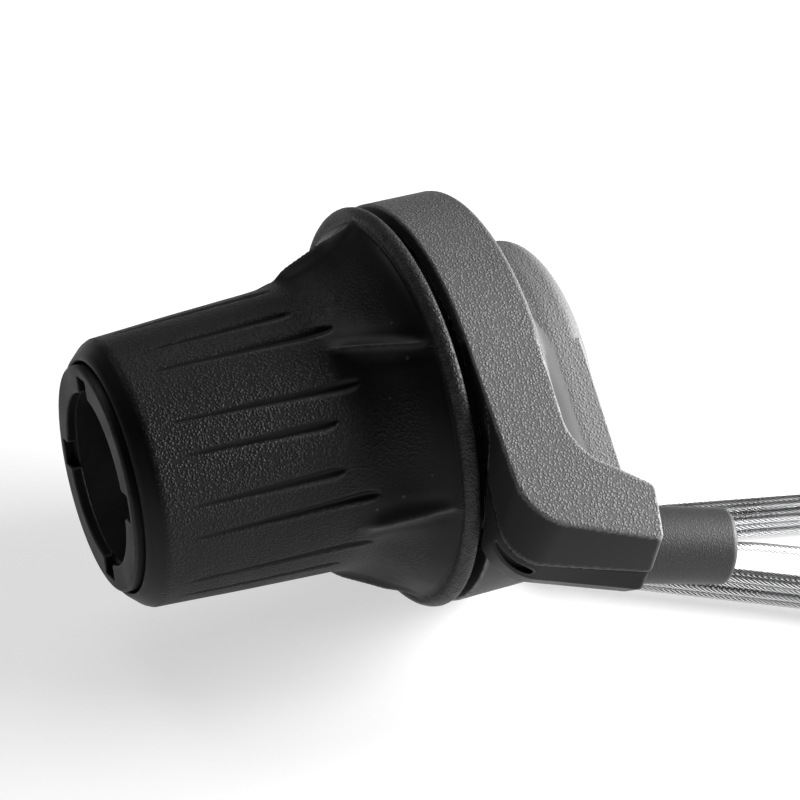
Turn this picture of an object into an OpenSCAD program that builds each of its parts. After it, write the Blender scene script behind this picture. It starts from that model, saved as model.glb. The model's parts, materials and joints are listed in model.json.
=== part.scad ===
// Bicycle handlebar twist shifter, right-hand side, with its new inner wire still in a hank.
// X runs along the handlebar and points inboard, Z is up, -Y is forward.
// The origin is on the handlebar axis at the middle of the clamp's bore wall.
// Angles round the bar, called theta below, start at +Z and grow toward -Y.

/* [Handlebar clamp] */
// Bore of the closed clamp, for a 22.2 mm handlebar
clamp_d = 22.3; // [22.2:0.02:22.4]
// Length of the clamp's bore wall along the bar
clamp_len = 10; // [8:0.5:10]
// Outside diameter of the clamp collar
collar_d = 28.4; // [27.4:0.2:29]
// Width of the slit in the clamp collar
slit_w = 1.6; // [1:0.2:2.4]
// Direction of the slit and the clamp ears round the bar
ear_theta = 200; // [190:1:210]

/* [Housing] */
// Outside diameter of the textured band
band_d = 54; // [53:0.5:55]
// Outside diameter of the cap over the clamp
cap_d = 37; // [36:0.5:38]
// Wall thickness of the band and the cap
wall = 1.5; // [1.2:0.1:1.8]
// X of the band's outboard edge
band_x0 = -14.9; // [-15:0.1:-14.6]
// X of the band's inboard edge
band_x1 = -5; // [-5.2:0.1:-5]
// X of the cap's inboard face
cap_x1 = 5.2; // [5:0.1:6]
// Slope of the arm's flat top round the bar
arm_theta = 40.3; // [38:0.1:43]
// Slope of the web between the cap and the arm
web_theta = 46; // [44:0.5:48]

/* [Grip] */
// X of the front face of the end ring
ring_x = -58; // [-58.4:0.1:-57.8]
// Outside diameter of the end ring
ring_d = 29.6; // [29:0.1:29.8]
// Number of pairs of grooves in the grip
groove_pairs = 10; // [8:1:10]
// Width of a groove at its round end
groove_w = 2.2; // [1.6:0.1:2.6]
// Number of raised lobes on the flange
lobes = 6; // [5:1:7]
// Theta of one lobe, seen from the front
lobe_theta = 35; // [25:1:45]

/* [Indexing and cable] */
// Number of gear positions
positions = 7; // [6:1:8]
// Turn of the grip for one gear
click_deg = 9.2; // [8:0.1:9.2]
// Radius from the bar axis to the wire on the drum
pull_r = 18; // [17.8:0.1:18.2]
// Diameter of the stainless inner wire
wire_d = 1.2; // [1.1:0.1:1.2]
// X of the wire's plane on the drum
wire_x = -11.5; // [-11.6:0.1:-11.4]
// Bend radius of the wire in the arm
bend_r = 11; // [10.8:0.1:11.2]
// Angle of the casing stop away from the bar axis
exit_deg = 15.6; // [15:0.1:16]
// Outside diameter of the casing stop
stop_d = 9.9; // [9.6:0.1:9.9]
// Length of the casing stop outside the arm
stop_len = 11.6; // [10:0.2:13]

/* [Hidden] */
$fn = 64;

// Core tube and clamp
tube_in = 11.35;
tube_out = 12.5;
tube_x0 = -56.6;
disc_x0 = -8.2;
disc_x1 = -6.6;
band_in = band_d / 2 - 2.4;
ear_bolt_r = 18.2;
ear_out = 22.9;
ear_half = 6.8;
bolt_r = 2;
nut_af = 7;

// Chamber of the drum
drum_x0 = -14.8;
drum_x1 = -9.2;
hub_r = 14.4;
drum_r = band_in - 3.6;
detent_r = band_in - 2.6;
detent_x1 = -8.6;
spring_r = band_in - 1.1;
bump_r = spring_r - 1.15;
spring_theta = -130;
travel = (positions - 1) * click_deg;
stop_pin_r = drum_r - 1.6;
stop_pin_theta = 120;
run_gap = 0.3;
nipple_theta = -20;
nipple_d = 4;
nipple_len = 4.4;
wire_theta = nipple_theta + asin((nipple_len + 0.1) / (pull_r - wire_d / 2));

// Grip
core_in = tube_out + run_gap;
core_out = 14.8;
core_x0 = -54.5;
flange_r = band_in - 0.4;
sleeve_x0 = -56.9;
rim_x = -16.6;
rim_d = band_d + 0.2;
rim_r = rim_d / 2;
rim_gap = 0.6;
ring_back = -55;

// Arm: local x is X, local -y is s along the arm's top, local z is the height above the bar axis
arm_top = band_d / 2;
arm_part = arm_top - 5.5;
arm_low = arm_part - 9.5;
bend_s = 17.83;
turn_deg = 90 - exit_deg;
exit_x = wire_x + bend_r * (1 - cos(turn_deg));
exit_s = bend_s + bend_r * sin(turn_deg);
face_x = 2;
face_s = exit_s + (face_x - exit_x) * tan(exit_deg);
stop_in = 4;
step_in = 2.2;
// Each cover screw: x, y and the height that its head bears on, in the arm's frame
screw_places = [[-13.3, -24.9, arm_part - 5.5], [-2, -24.6, arm_part - 8]];

// Free wire: hand-picked route from the casing stop down to the hank, in part coordinates
tail_route = [[19, -38.1, -8.9], [26, -39.8, -10.9], [34, -42, -14.2], [42, -44.4, -17.8],
    [49, -46.4, -20.5], [55, -48.2, -22.1], [60, -50, -22.9], [63, -51.2, -23.3]];
floor_z = -rim_d / 2;
hank_tip = [12.22, -11.1];
hank_deg = -26.5;
hank_run = 59.7;
hank_h = 4.5;
hank_lift = 0.5;
hank_w = 3.7;
tip_in = 3;
tip_out = tip_in + hank_w;
end_out = 16.5;
end_in = end_out - hank_w;

function arc(cx, cy, r, a0, a1, k) =
    [for (i = [0:k]) let (a = a0 + (a1 - a0) * i / k) [cx + r * cos(a), cy + r * sin(a)]];
function unit(v) = v / norm(v);
function wrap(a) = a > 180 ? a - 360 : (a < -180 ? a + 360 : a);

// Points of one corner of an outline, rounded with radius r
function corner(a, b, c, r, k) = let (
        u = unit(a - b), v = unit(c - b), half = acos(u * v) / 2,
        m = b + unit(u + v) * r / sin(half),
        p = b + u * r / tan(half) - m, q = b + v * r / tan(half) - m,
        a0 = atan2(p[1], p[0]), turn = wrap(atan2(q[1], q[0]) - a0))
    [for (i = [0:k]) m + r * [cos(a0 + turn * i / k), sin(a0 + turn * i / k)]];
function rounded(pts, radii, k = 5) = let (n = len(pts))
    [for (i = [0:n - 1]) each corner(pts[(i + n - 1) % n], pts[i], pts[(i + 1) % n], radii[i], k)];

module about_bar() rotate([0, 90, 0]) children();
module at_theta(a) rotate([a, 0, 0]) children();
module turned_ring(r0, r1, x0, x1) about_bar() rotate_extrude()
    polygon([[r0, x0], [r1, x0], [r1, x1], [r0, x1]]);
module rod_x(r, x0, x1) translate([x0, 0, 0]) rotate([0, 90, 0]) cylinder(r = r, h = x1 - x0);
// A solid of revolution between two thetas
module sector(a0, a1) about_bar() rotate([0, 0, 180 + a0]) rotate_extrude(angle = a1 - a0) children();
module arm_frame() rotate([arm_theta, 0, 0]) children();
module exit_frame() arm_frame() translate([face_x, -face_s, pull_r]) rotate([0, 0, -exit_deg]) children();

// Closed shell through outlines of equal point count, one at each height, ends fanned from middle
module loft(levels, middle) {
    n = len(levels[0][1]);
    m = len(levels);
    pts = [for (l = levels) each [for (p = l[1]) [p[0], p[1], l[0]]]];
    ends = [[middle[0], middle[1], levels[0][0]], [middle[0], middle[1], levels[m - 1][0]]];
    sides = [for (j = [0:m - 2]) each [for (i = [0:n - 1]) let (a = j * n + i, b = j * n + (i + 1) % n)
        each [[a, b + n, b], [a, a + n, b + n]]]];
    first = [for (i = [0:n - 1]) [i, (i + 1) % n, m * n]];
    last = [for (i = [0:n - 1]) [(m - 1) * n + (i + 1) % n, (m - 1) * n + i, m * n + 1]];
    polyhedron(concat(pts, ends), concat(sides, first, last));
}
arm_middle = [-9, -22];

// Arm outline from above: spread 0 is the sharp ridge of the top, 1 is the foot of its bevel
function arm_outline(spread, side) = rounded([
        [band_x0, 2], [band_x0 - 0.1 * spread, -9],
        [-15.2 - 2.3 * spread, -25.3 - 3.3 * spread - 0.5 * side],
        [1.2 - 0.6 * spread - 0.2 * side, -32.1 - 2.4 * spread - 1.2 * side],
        [2.7 + 0.1 * spread, -24.8 + 0.6 * spread + side], [-6.2, -17.6], [-5.3, 2]],
    [0.5, 20, 4.5, 0.8, 0.8, 3, 0.5]);
module arm_upper() arm_frame() loft([[arm_part, arm_outline(1, 0)], [arm_part + 0.7, arm_outline(1, 0)],
    [arm_top - 0.6, arm_outline(0, 0)], [arm_top, arm_outline(-0.2, 0)]], arm_middle);
// Outline of the lower half, which starts below the band
function tray_outline(spread, side) = rounded([
        [band_x0 + 0.6, -15.5], [band_x0 - 0.8, -18.5],
        [-15.2 - 2.3 * spread, -25.3 - 3.3 * spread - 0.5 * side],
        [1.2 - 0.6 * spread - 0.2 * side, -32.1 - 2.4 * spread - 1.2 * side],
        [2.7 + 0.1 * spread, -24.8 + 0.6 * spread + side], [-6, -17.8 + 0.4 * side], [-6.4, -15.5]],
    [0.3, 0.6, 4.5, 0.8, 0.8, 1, 0.3]);
module arm_lower() arm_frame() loft([
    [arm_low, tray_outline(0.5, 0.2)], [arm_low + 1.5, tray_outline(0.8, 0.6)],
    [arm_low + 6, tray_outline(1, 1)], [arm_part, tray_outline(0.96, 0)]], arm_middle);
module arm_hollow() arm_frame() translate([0, 0, pull_r - 4]) linear_extrude(arm_top - pull_r + 1.6)
    polygon([[-13.2, -12], [-13.2, -22], [-9.2, -26.4], [-4.5, -28.2], [-4.5, -23.6], [-8, -20.6],
        [-8.2, -12]]);

// Outside of the band, the cove and the cap, as [radius, X] from the band's outboard edge
housing_profile = concat(
    arc(band_d / 2 - 1.2, band_x1 - 1.2, 1.2, 0, 90, 6),
    arc(cap_d / 2 + 4.2, band_x1 + 4.2, 4.2, 270, 180, 8),
    arc(cap_d / 2 - 2.5, cap_x1 - 2.5, 2.5, 0, 90, 8), [[0, cap_x1]]);
module housing_outside() about_bar() rotate_extrude() polygon(concat(
    [[0, band_x0], [band_d / 2 - 0.3, band_x0], [band_d / 2, band_x0 + 0.3]], housing_profile));
// Room that the arm's lower half leaves to the turning rim and the band
module arm_clear() about_bar() rotate_extrude() polygon(concat([[0, -30], [rim_d / 2 + rim_gap, -30],
    [rim_d / 2 + rim_gap, band_x0], [band_d / 2, band_x0]], housing_profile));

// A point of the arm: x, distance s along the arm's top, height h above the bar axis
function arm_point(x, s, h) =
    [x, -s * cos(arm_theta) - h * sin(arm_theta), -s * sin(arm_theta) + h * cos(arm_theta)];
drum_line = [for (i = [0:12]) let (a = wire_theta + (arm_theta - wire_theta) * i / 12)
    [wire_x, -pull_r * sin(a), pull_r * cos(a)]];
bend_line = [for (i = [0:12]) let (a = turn_deg * i / 12)
    arm_point(wire_x + bend_r * (1 - cos(a)), bend_s + bend_r * sin(a), pull_r)];
mouth_dir = arm_point(cos(exit_deg), sin(exit_deg), 0);
drum_dir = arm_point(0, 1, 0);
function exit_point(x) = arm_point(face_x + x * cos(exit_deg), face_s + x * sin(exit_deg), pull_r);

// Slot in the tray for the curved liner, in the plane of its bend
module guide_slot() arm_frame() translate([wire_x + bend_r, -bend_s, pull_r - 2.1]) linear_extrude(4.2)
    polygon(concat([[-bend_r - 2.1, 2]], arc(0, 0, bend_r + 2.1, 180, 180 + turn_deg + 12, 8),
        arc(0, 0, bend_r - 2.1, 180 + turn_deg + 12, 180, 6), [[2.1 - bend_r, 2]]));

// Fixed base: core tube that the grip turns on, index disc, split clamp collar with two ears
module bracket() color([0.16, 0.16, 0.17]) difference() {
    union() {
        about_bar() rotate_extrude() polygon([[tube_in, tube_x0], [tube_out, tube_x0], [tube_out, disc_x0],
            [band_in, disc_x0], [band_in, disc_x1], [collar_d / 2, disc_x1], [collar_d / 2, clamp_len / 2],
            [clamp_d / 2, clamp_len / 2], [clamp_d / 2, -clamp_len / 2], [tube_in, -clamp_len / 2]]);
        difference() {
            at_theta(ear_theta) translate([-4.8, -ear_half, 12]) cube([9.6, 2 * ear_half, ear_out - 12]);
            rod_x(13, -6, 6);
        }
        for (side = [-1, 1]) at_theta(spring_theta + 32 * side) translate([disc_x0 - 1.4, 0, spring_r])
            rotate([0, 90, 0]) cylinder(r = 0.5, h = 2.2);
    }
    at_theta(ear_theta) translate([-clamp_len / 2 - 0.4, -slit_w / 2, 10.5])
        cube([clamp_len + 2, slit_w, 20]);
    at_theta(ear_theta) translate([0, 0, ear_bolt_r]) rotate([90, 0, 0])
        cylinder(r = bolt_r + 0.15, h = 4 * ear_half, center = true);
    at_theta(ear_theta) translate([0, ear_half - 4, ear_bolt_r]) rotate([-90, 0, 0])
        rotate([0, 0, 30]) cylinder(d = (nut_af + 0.1) / cos(30), h = 6, $fn = 6);
    sector(stop_pin_theta - travel - 4, stop_pin_theta + 4) translate([stop_pin_r - 1.3, disc_x0 - 1])
        square([2.6, disc_x1 - disc_x0 + 2]);
}

// Textured shell: band round the drum, cove, cap over the clamp, web and the top of the arm
module housing() color([0.22, 0.22, 0.23]) difference() {
    union() {
        difference() {
            housing_outside();
            rod_x(band_in, band_x0 - 1, disc_x1);
            rod_x(cap_d / 2 - wall, disc_x1 - 1, cap_x1 - 1.4);
            rod_x(15, 0, cap_x1 + 1);
            at_theta(ear_theta) translate([disc_x1 + 1.6, -13, 12]) cube([12, 26, 20]);
        }
        difference() {
            at_theta(web_theta) translate([band_x1 - 0.5, -24, cap_d / 2 - 2]) cube([9.6, 24, 2]);
            arm_lower();
            arm_upper();
            rod_x(cap_d / 2 - wall, -8, 8);
        }
        difference() {
            arm_upper();
            rod_x(band_in, band_x0 - 1, disc_x1);
            rod_x(cap_d / 2 - wall, disc_x1 - 1, cap_x1);
            rod_x(rim_d / 2 + rim_gap, -30, band_x0);
        }
    }
    arm_hollow();
    arm_frame() translate([wire_x - 2.2, -21, pull_r - 3]) cube([5, 13, 6.5]);
    exit_frame() rod_x(stop_d / 2, -step_in, 4);
    exit_frame() rod_x(stop_d / 2 - 0.9, -stop_in, 0);
    for (p = screw_places) arm_frame() translate([p[0], p[1], arm_part - 1]) cylinder(r = 1.1, h = 3.8);
}

// Smooth tray under the arm that closes round the wire's bend
module lower_cover() color([0.1, 0.1, 0.11]) difference() {
    arm_lower();
    arm_clear();
    arm_hollow();
    guide_slot();
    exit_frame() rod_x(stop_d / 2, -step_in, 4);
    exit_frame() rod_x(stop_d / 2 - 0.9, -stop_in, 0);
    arm_frame() translate([-12.6, -24.6, arm_part - 2.1]) rotate([0, 0, 192])
        rotate_extrude(angle = 62) translate([4.9, 0]) circle(r = 0.75);
    for (p = screw_places) arm_frame() translate([p[0], p[1], 0]) {
        cylinder(r = 1.1, h = 30);
        cylinder(r = 2.3, h = p[2]);
    }
}

// Pan head screw with a cross recess, from below the arm
module cover_screw(i) color([0.55, 0.56, 0.58]) arm_frame() translate(screw_places[i]) difference() {
    union() {
        translate([0, 0, -1.4]) cylinder(r = 2.2, h = 1.4);
        cylinder(r = 1.1, h = arm_part + 2.6 - screw_places[i][2]);
    }
    for (a = [45, 135]) translate([0, 0, -1.5]) rotate([0, 0, a]) cube([2.6, 0.5, 1.8], center = true);
}

module clamp_bolt() color([0.5, 0.5, 0.52]) at_theta(ear_theta) translate([0, -ear_half, ear_bolt_r])
    rotate([90, 0, 0]) difference() {
        union() {
            rotate_extrude() polygon([[0, 0], [3.5, 0], [3.5, 3.6], [3.1, 4], [0, 4]]);
            translate([0, 0, -14]) cylinder(r = bolt_r, h = 14);
        }
        translate([0, 0, 1.8]) cylinder(d = 3.46, h = 4, $fn = 6);
    }

module clamp_nut() color([0.6, 0.6, 0.62]) at_theta(ear_theta) translate([0, ear_half - 4, ear_bolt_r])
    rotate([-90, 0, 0]) difference() {
        rotate([0, 0, 30]) cylinder(d = nut_af / cos(30), h = 3.2, $fn = 6);
        translate([0, 0, -1]) cylinder(r = bolt_r, h = 6);
    }

// Ferrule tube that the outer casing plugs into
module casing_stop() color([0.13, 0.13, 0.14]) exit_frame() about_bar() rotate_extrude() polygon([
    [1.2, -stop_in], [stop_d / 2 - 0.9, -stop_in], [stop_d / 2 - 0.9, -step_in], [stop_d / 2, -step_in],
    [stop_d / 2, stop_len - 0.7], [stop_d / 2 - 0.25, stop_len - 0.2], [stop_d / 2 - 0.75, stop_len],
    [3.6, stop_len], [3.1, stop_len - 0.5], [3.1, stop_len - 8.5], [1.2, stop_len - 9.3]]);

// Curved liner that turns the wire from the drum into the casing stop
module cable_guide() color([0.75, 0.75, 0.72]) difference() {
    sweep(concat([arm_point(wire_x, bend_s - 2.4, pull_r)], bend_line, [exit_point(-stop_in)]), 1.9, 16,
        drum_dir, mouth_dir);
    sweep(concat([arm_point(wire_x, bend_s - 3.4, pull_r)], bend_line, [exit_point(0)]), 0.95, 12,
        drum_dir, mouth_dir);
}

module inner_wire() color([0.72, 0.73, 0.74])
    sweep(concat(drum_line, bend_line, [exit_point(stop_len)]), wire_d / 2, 8,
        [0, -cos(wire_theta), -sin(wire_theta)], mouth_dir);

// Leaf spring with a bump that drops into the index notches
module detent_spring() color([0.66, 0.67, 0.69]) difference() {
    union() {
        sector(spring_theta - 32, spring_theta + 32) translate([spring_r - 0.2, disc_x0 - 1.2])
            square([0.4, 1]);
        for (side = [-1, 1]) at_theta(spring_theta + 32 * side) translate([disc_x0 - 1.2, 0, spring_r])
            rotate([0, 90, 0]) cylinder(r = 0.95, h = 1);
        at_theta(spring_theta) translate([disc_x0 - 1.2, 0, bump_r]) rotate([0, 90, 0]) cylinder(r = 0.9, h = 1);
        at_theta(spring_theta) translate([disc_x0 - 1.2, -0.5, bump_r]) cube([1, 1, spring_r - bump_r]);
    }
    for (side = [-1, 1]) at_theta(spring_theta + 32 * side) translate([disc_x0 - 2, 0, spring_r])
        rotate([0, 90, 0]) cylinder(r = 0.56, h = 3);
}

module thrust_washer() color([0.7, 0.7, 0.7]) turned_ring(12.8, 16.5, disc_x0 - 0.25, disc_x0);
module end_washer() color([0.75, 0.75, 0.73]) turned_ring(tube_out, 14.6, ring_back, ring_back + 0.25);

// Retaining ring on the end of the core tube, with four key notches between its inner lugs
module end_ring() color([0.11, 0.11, 0.12]) difference() {
    about_bar() rotate_extrude() polygon([[11.3, ring_x], [ring_d / 2 - 0.4, ring_x],
        [ring_d / 2, ring_x + 0.4], [ring_d / 2, ring_back], [tube_out, ring_back], [tube_out, tube_x0],
        [11.3, tube_x0]]);
    for (a = [0:90:270]) at_theta(a - 14.7) translate([ring_x - 1, -1.8, 10]) cube([2.6, 3.6, 3.5]);
}

// Rigid barrel under the rubber, with the flange that closes the drum's chamber
module grip_core() color([0.14, 0.14, 0.15]) about_bar() rotate_extrude() polygon(concat(
    [[core_in, core_x0], [core_out, core_x0], [core_out, -26]],
    [for (i = [1:6]) let (t = i / 6) [core_out + 7.2 * t * t, -26 + 7.4 * t]],
    [[flange_r, rim_x], [flange_r, drum_x0], [hub_r, drum_x0], [hub_r, drum_x1], [core_in, drum_x1]]));

// Outer profile of the rubber as [radius, X], from the end chamfer to the rim
grip_profile = concat(
    [[15.7, sleeve_x0], [17.1, -55.4], [17.55, -54.7], [17.9, -50], [18.3, -44], [18.7, -37],
        [19.05, -31], [19.15, -28.5]],
    [for (i = [0:7]) let (t = i / 7) [19.3 + (rim_r - 21.6) * pow(t, 1.35), -27.2 + 8.4 * t]]);
rim_profile = [[rim_r - 2.3, -18.8], [rim_r - 1.1, -18.7], [rim_r - 0.3, -18.2], [rim_r, -17.5],
    [rim_r, -17], [rim_r - 0.4, rim_x]];
sleeve_outer = concat(grip_profile, rim_profile);
sleeve_inner = concat([[flange_r, rim_x]],
    [for (i = [6:-1:1]) let (t = i / 6) [core_out + 7.2 * t * t, -26 + 7.4 * t]],
    [[core_out, -26], [core_out, core_x0], [15.15, core_x0], [15.15, sleeve_x0]]);

// Theta of the two grooves of each pair, mirrored about the middle of a scallop
groove_gap = 13.3;
groove_step = 37.5;
groove_first = 16.6;
scallop_theta = lobe_theta + 180 / lobes;
module groove(theta, x1) at_theta(theta) translate([-52.6, 0, 18.75]) rotate([0, 90 - 0.9, 0]) {
    cylinder(d = groove_w, h = x1 + 52.6);
    translate([0, 0, x1 + 52.6]) sphere(d = groove_w);
}
// Raised lobe of the flange, pointed toward the grip and widening to the rim
module lobe(theta) intersection() {
    about_bar() rotate_extrude() polygon([[16, -30], [19.2, -30], [20.6, -27], [rim_r - 4.5, -24],
        [rim_r - 2.5, -21.4], [rim_r - 0.7, -18.4], [rim_r - 0.7, -17], [16, -17]]);
    at_theta(theta) linear_extrude(30) polygon([[-30.2, 0], [-29.6, -0.9], [-23, -3], [-17, -4.4],
        [-17, 4.4], [-23, 3], [-29.6, 0.9]]);
}
module grip_sleeve() color([0.09, 0.09, 0.1]) difference() {
    union() {
        about_bar() rotate_extrude() polygon(concat(sleeve_outer, sleeve_inner));
        difference() {
            for (i = [0:lobes - 1]) lobe(lobe_theta + 360 / lobes * i);
            about_bar() rotate_extrude() polygon(concat([[0, core_x0], [0, rim_x]], sleeve_inner));
        }
    }
    for (i = [0:groove_pairs / 2 - 1]) for (side = [-1, 1]) {
        middle = groove_first + groove_step * i;
        long = i % 2 == 0 ? 1 : -1;
        groove(scallop_theta + side * (middle - groove_gap / 2), long > 0 ? -31.5 : -28);
        groove(scallop_theta + side * (middle + groove_gap / 2), long > 0 ? -27.5 : -31.5);
    }
}

// Drum that winds the wire, with the nipple's pocket and the travel stop pin
module cable_drum() color([0.82, 0.81, 0.76]) difference() {
    union() {
        about_bar() rotate_extrude() polygon([[hub_r, drum_x0], [drum_r, drum_x0], [drum_r, wire_x - 0.9],
            [pull_r - 0.9, wire_x - 0.9], [pull_r - 0.9, wire_x + 0.9], [drum_r, wire_x + 0.9],
            [drum_r, drum_x1], [hub_r, drum_x1]]);
        at_theta(stop_pin_theta) translate([drum_x1 - 0.5, 0, stop_pin_r]) rotate([0, 90, 0])
            cylinder(r = 1, h = 2.9);
    }
    at_theta(nipple_theta) translate([wire_x, 0, pull_r]) rotate([90, 0, 0])
        cylinder(r = nipple_d / 2 + 0.05, h = nipple_len + 0.1);
    at_theta(nipple_theta) translate([wire_x - nipple_d / 2, -nipple_len - 0.1, pull_r])
        cube([nipple_d, nipple_len + 0.1, 6]);
}

// Toothed disc on the drum, one notch for each gear
module detent_ring() color([0.6, 0.61, 0.63]) difference() {
    turned_ring(hub_r + 0.2, detent_r, drum_x1, detent_x1);
    for (i = [0:positions - 1]) at_theta(spring_theta + i * click_deg) translate([0, 0, bump_r])
        rod_x(1.1, -10, -8);
    at_theta(stop_pin_theta) translate([0, 0, stop_pin_r]) rod_x(1, -10, -8);
}

module cable_nipple() color([0.7, 0.7, 0.68]) at_theta(nipple_theta) translate([wire_x, 0, pull_r])
    rotate([90, 0, 0]) cylinder(d = nipple_d, h = nipple_len);

// Free wire from the mouth of the casing stop to the hank
mouth = exit_point(stop_len);
tail_knots = concat([mouth - 5 * mouth_dir, mouth, mouth + 2.5 * mouth_dir], tail_route, [[67, -53, -23.8]]);
function catmull(a, b, c, d, t) = 0.5 * (2 * b + (c - a) * t + (2 * a - 5 * b + 4 * c - d) * t * t
    + (3 * b - a - 3 * c + d) * t * t * t);
tail_steps = 3;
tail_line = concat([for (i = [1:len(tail_knots) - 3]) each [for (j = [0:tail_steps - 1])
    catmull(tail_knots[i - 1], tail_knots[i], tail_knots[i + 1], tail_knots[i + 2], j / tail_steps)]],
    [tail_knots[len(tail_knots) - 2]]);
// Round rod of radius r along a line of points, square to d0 at its start and to d1 at its end
module sweep(line, r, sides, d0, d1) {
    n = len(line);
    dirs = [for (i = [0:n - 1]) i == 0 ? d0 : (i == n - 1 ? d1 : unit(line[i + 1] - line[i - 1]))];
    pts = [for (i = [0:n - 1]) let (u = unit(cross(dirs[i], [0, 0, 1])), v = cross(u, dirs[i]))
        each [for (k = [0:sides - 1]) line[i] + r * (cos(360 * k / sides) * u + sin(360 * k / sides) * v)]];
    skin = [for (i = [0:n - 2]) each [for (k = [0:sides - 1])
        let (a = i * sides + k, b = i * sides + (k + 1) % sides)
        each [[a, b, b + sides], [a, b + sides, a + sides]]]];
    first = [for (k = [sides - 1:-1:0]) k];
    last = [for (k = [0:sides - 1]) (n - 1) * sides + k];
    polyhedron(pts, concat(skin, [first], [last]));
}
tail_end_dir = unit(tail_line[len(tail_line) - 1] - tail_line[len(tail_line) - 2]);
module cable_tail() color([0.72, 0.73, 0.74]) sweep(tail_line, wire_d / 2, 8, mouth_dir, tail_end_dir);

// Hank of the rest of the wire, narrow under the clamp and wider away from it
module hank_frame() translate([hank_tip[0], hank_tip[1], floor_z]) rotate([0, 0, hank_deg]) children();
function drop_outline(r0, r1) = let (a = acos((r0 - r1) / hank_run))
    concat(arc(0, 0, r0, a, 360 - a, 10), arc(hank_run, 0, r1, -a, a, 12));
module cable_hank() color([0.72, 0.73, 0.74]) hank_frame() translate([0, 0, hank_lift])
    linear_extrude(hank_h) difference() {
        polygon(drop_outline(tip_out, end_out));
        polygon(drop_outline(tip_in, end_in));
    }
// Frame along one side of the hank: x along the run, y outward from the hank's axis
module run_frame(side) hank_frame() rotate([0, 0, side * asin((end_out - tip_out) / hank_run)])
    mirror([0, side > 0 ? 0 : 1, 0]) children();
// Tie closed round one side of the hank
module hank_tie(side) color([0.15, 0.15, 0.16]) run_frame(side) translate([34.5, tip_in - 0.6, 0])
    difference() {
        cube([3, hank_w + 1.1, hank_lift + hank_h + 0.5]);
        translate([-1, 0.5, hank_lift]) cube([5, hank_w + 0.1, hank_h + 0.02]);
    }
// Crimped cap on the far end of the wire
module cable_end_cap() color([0.8, 0.8, 0.82]) run_frame(-1) translate([16, tip_in - 0.95, 1])
    rotate([0, 90, 0])
    rotate_extrude() polygon([[0, 0], [0.85, 0], [1, 0.4], [1, 8], [0.7, 9], [0, 9]]);

bracket();
housing();
lower_cover();
cover_screw(0);  // cover_screw_1
cover_screw(1);  // cover_screw_2
clamp_bolt();
clamp_nut();
casing_stop();
cable_guide();
inner_wire();
detent_spring();
thrust_washer();
end_washer();
end_ring();
grip_core();
grip_sleeve();
cable_drum();
detent_ring();
cable_nipple();
cable_tail();
cable_hank();
hank_tie(1);  // hank_tie_1
hank_tie(-1);  // hank_tie_2
cable_end_cap();
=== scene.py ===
import json

import bpy
import numpy as np
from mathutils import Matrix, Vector


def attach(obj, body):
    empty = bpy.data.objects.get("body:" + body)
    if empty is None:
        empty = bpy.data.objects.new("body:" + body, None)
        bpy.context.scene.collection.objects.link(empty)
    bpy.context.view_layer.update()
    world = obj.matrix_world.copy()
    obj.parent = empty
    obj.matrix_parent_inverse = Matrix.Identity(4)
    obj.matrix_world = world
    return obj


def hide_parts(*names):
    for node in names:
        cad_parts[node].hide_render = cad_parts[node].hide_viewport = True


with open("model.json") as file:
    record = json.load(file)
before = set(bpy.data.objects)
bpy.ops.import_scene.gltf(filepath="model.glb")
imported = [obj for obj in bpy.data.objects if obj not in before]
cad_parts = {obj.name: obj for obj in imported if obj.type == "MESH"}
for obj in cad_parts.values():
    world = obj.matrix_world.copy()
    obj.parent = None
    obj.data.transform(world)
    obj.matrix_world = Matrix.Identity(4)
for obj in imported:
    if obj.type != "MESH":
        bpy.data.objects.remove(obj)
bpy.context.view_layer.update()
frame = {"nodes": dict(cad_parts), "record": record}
MM = 0.001

# Camera

SENSOR_MM, LENS_MM = 36, 117.89
CAMERA_AT = (-0.138429, -0.267423, 0.185783)
CAMERA_TO = (-0.014556, 0.001774, -0.000466)


def aim(obj, target):
    """Turns obj's -Z toward target."""
    direction = Vector(target) - obj.location
    obj.rotation_mode = "QUATERNION"
    obj.rotation_quaternion = direction.to_track_quat("-Z", "Y")


cam_data = bpy.data.cameras.new("camera")
cam_data.sensor_width = SENSOR_MM
cam_data.lens = LENS_MM
camera = bpy.data.objects.new("camera", cam_data)
bpy.context.scene.collection.objects.link(camera)
camera.location = CAMERA_AT
aim(camera, CAMERA_TO)
bpy.context.scene.camera = camera

# The part's main numbers, in millimetres and degrees

ARM_DEG = 40.3
ARM = np.radians(ARM_DEG)
EXIT = np.radians(15.6)
PULL_R = 18.0
FACE_X, FACE_S = 2.0, 29.949
STOP_LEN = 11.6
STOP_SEAT, STOP_NOSE = 2.2, 4.0
BAND_R, BAND_X = 27.0, -14.9
RIM_ROOM_R = 27.7
PARTING_H = 21.5
FLOOR_Z = -27.1
WIRE_D = 1.2


def arm_point(x, s, h):
    """Point of the arm: x, distance s along its top, height h above the bar's axis."""
    y = -s * np.cos(ARM) - h * np.sin(ARM)
    z = -s * np.sin(ARM) + h * np.cos(ARM)
    return np.array([x, y, z])


def exit_point(along):
    """Point on the casing stop's axis, this far from the arm's face."""
    return arm_point(FACE_X + along * np.cos(EXIT), FACE_S + along * np.sin(EXIT), PULL_R)


def smooth_step(value, low, high):
    """0 below low, 1 above high, and a smooth rise between."""
    t = np.clip((value - low) / (high - low), 0, 1)
    return t * t * (3 - 2 * t)


# Free wire

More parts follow.
